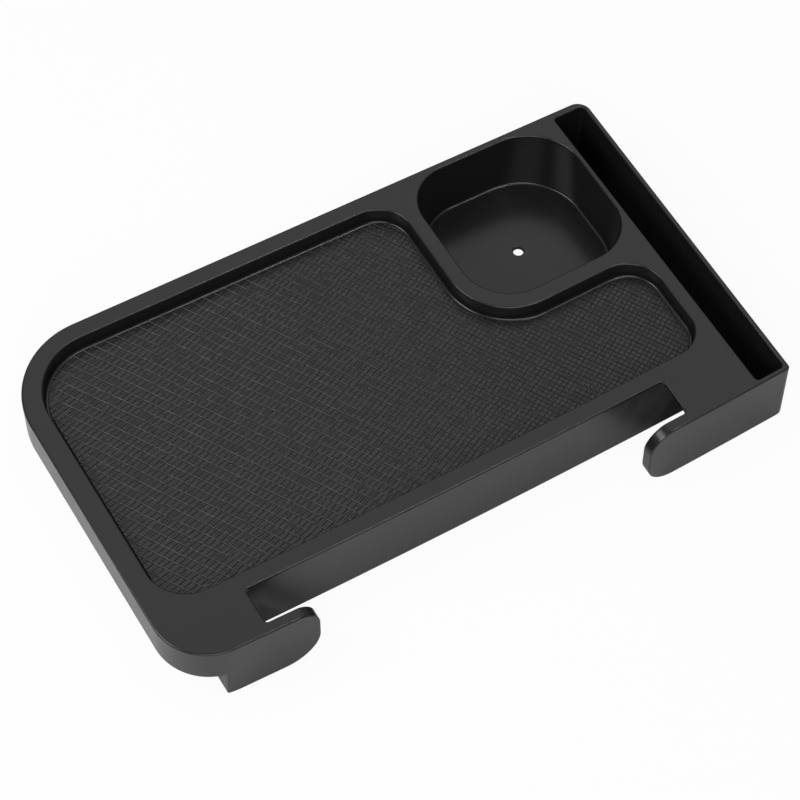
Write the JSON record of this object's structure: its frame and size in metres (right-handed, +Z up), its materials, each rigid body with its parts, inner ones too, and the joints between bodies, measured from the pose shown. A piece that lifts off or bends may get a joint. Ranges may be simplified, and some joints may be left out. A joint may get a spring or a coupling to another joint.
{
  "type": "camping chair side tray",
  "caption": "Rectangular clip-on side tray with a matted recess, a deep cup well, a tablet slot and an arm channel with hooks.",
  "frame": {"origin": "middle of the footprint, on the plane that the feet stand on", "axes": "+X from the rounded end to the tablet slot, +Y away from the arm hooks, +Z up"},
  "size_m": [0.3606, 0.2166, 0.0445],
  "materials": {
    "black_satin_plastic": "satin black moulded plastic with a fine grain",
    "textured_mat": "matt black with a fine cross-hatched relief"
  },
  "bodies": {
    "tray": {"tray_body": "black_satin_plastic"},
    "mat": {"floor_mat": "textured_mat"}
  },
  "joints": [
    {"name": "mat_lift", "type": "slide", "parent": "tray", "child": "mat", "axis": [0, 0, 1], "range_m": [0, 0.03]}
  ]
}
